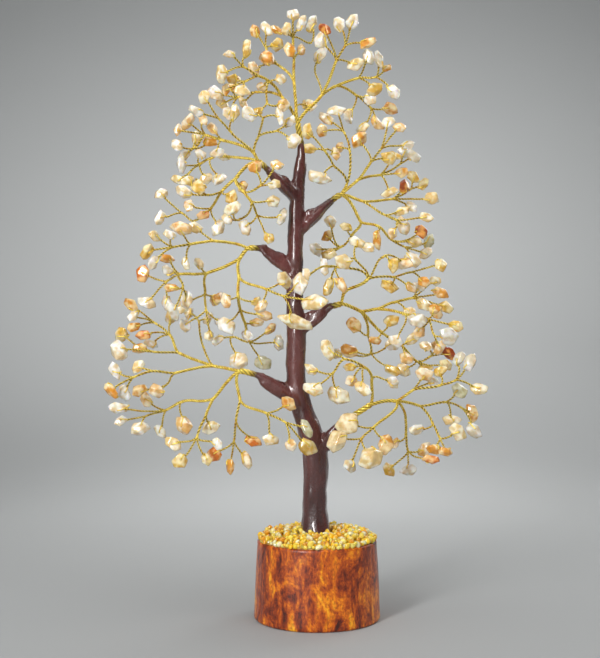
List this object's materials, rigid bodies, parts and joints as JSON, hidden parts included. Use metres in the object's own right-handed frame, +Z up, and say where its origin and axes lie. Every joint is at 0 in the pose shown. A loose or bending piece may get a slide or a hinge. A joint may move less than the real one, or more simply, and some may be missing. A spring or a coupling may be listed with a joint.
{
  "type": "gemstone tree ornament",
  "caption": "Table ornament: a wire tree with a coated trunk, bendable sprays of twisted wire tipped with drilled stone chips, on a round wooden base strewn with small chips.",
  "frame": {"origin": "centre of the wooden base's flat underside", "axes": "+Z up, +X to the right and -Y towards the viewer of the picture"},
  "size_m": [0.1703, 0.0694, 0.272],
  "materials": {
    "base_wood": "gloss lacquer over bark",
    "glue": "clear set glue",
    "base_chips": "polished chips",
    "trunk_coat": "gloss lacquer",
    "wire": "bright gold-coloured twisted wire",
    "stone_chips": "tumbled translucent quartz"
  },
  "bodies": {
    "stand": {"wood_base": "base_wood", "glue_bed": "glue", "gravel": "base_chips", "trunk": "trunk_coat", "trunk_core": "wire", "branch_roots": "wire"},
    "crown_spray": {"crown_bundle": "wire", "crown_top_wires": "wire", "crown_top_stones": "stone_chips", "crown_right_wires": "wire", "crown_right_stones": "stone_chips", "crown_left_wires": "wire", "crown_left_stones": "stone_chips"},
    "upper_left_spray": {"upper_left_bundle": "wire", "upper_left_high_wires": "wire", "upper_left_high_stones": "stone_chips", "upper_left_outer_wires": "wire", "upper_left_outer_stones": "stone_chips", "upper_left_inner_wires": "wire", "upper_left_inner_stones": "stone_chips"},
    "upper_right_spray": {"upper_right_bundle": "wire", "upper_right_high_wires": "wire", "upper_right_high_stones": "stone_chips", "upper_right_outer_wires": "wire", "upper_right_outer_stones": "stone_chips", "upper_right_low_wires": "wire", "upper_right_low_stones": "stone_chips"},
    "middle_left_spray": {"middle_left_bundle": "wire", "middle_left_outer_wires": "wire", "middle_left_outer_stones": "stone_chips", "middle_left_low_wires": "wire", "middle_left_low_stones": "stone_chips", "middle_left_inner_wires": "wire", "middle_left_inner_stones": "stone_chips"},
    "middle_right_spray": {"middle_right_bundle": "wire", "middle_right_high_wires": "wire", "middle_right_high_stones": "stone_chips", "middle_right_outer_wires": "wire", "middle_right_outer_stones": "stone_chips", "middle_right_low_wires": "wire", "middle_right_low_stones": "stone_chips"},
    "lower_left_spray": {"lower_left_bundle": "wire", "lower_left_outer_wires": "wire", "lower_left_outer_stones": "stone_chips", "lower_left_low_wires": "wire", "lower_left_low_stones": "stone_chips", "lower_left_inner_wires": "wire", "lower_left_inner_stones": "stone_chips"},
    "lower_right_spray": {"lower_right_bundle": "wire", "lower_right_high_wires": "wire", "lower_right_high_stones": "stone_chips", "lower_right_outer_wires": "wire", "lower_right_outer_stones": "stone_chips", "lower_right_low_wires": "wire", "lower_right_low_stones": "stone_chips"}
  },
  "joints": [
    {"name": "crown_bend", "type": "hinge", "parent": "stand", "child": "crown_spray", "pos_m": [-0.00696, 0, 0.21144], "axis": [1, 0, 0], "range_deg": [-10, 10]},
    {"name": "upper_left_bend", "type": "hinge", "parent": "stand", "child": "upper_left_spray", "pos_m": [-0.02237, -0.00269, 0.20074], "axis": [0, 0, 1], "range_deg": [-10, 10]},
    {"name": "upper_right_bend", "type": "hinge", "parent": "stand", "child": "upper_right_spray", "pos_m": [0.00591, 0.00269, 0.1866], "axis": [0, 0, 1], "range_deg": [-10, 10]},
    {"name": "middle_left_bend", "type": "hinge", "parent": "stand", "child": "middle_left_spray", "pos_m": [-0.0255, -0.00269, 0.16546], "axis": [0, 0, 1], "range_deg": [-10, 10]},
    {"name": "middle_right_bend", "type": "hinge", "parent": "stand", "child": "middle_right_spray", "pos_m": [0.00579, -0.0018, 0.13912], "axis": [0, 0, 1], "range_deg": [-10, 10]},
    {"name": "lower_left_bend", "type": "hinge", "parent": "stand", "child": "lower_left_spray", "pos_m": [-0.0268, -0.00359, 0.10877], "axis": [0, 0, 1], "range_deg": [-10, 10]},
    {"name": "lower_right_bend", "type": "hinge", "parent": "stand", "child": "lower_right_spray", "pos_m": [0.01332, -0.00359, 0.08915], "axis": [0, 0, 1], "range_deg": [-10, 10]}
  ]
}
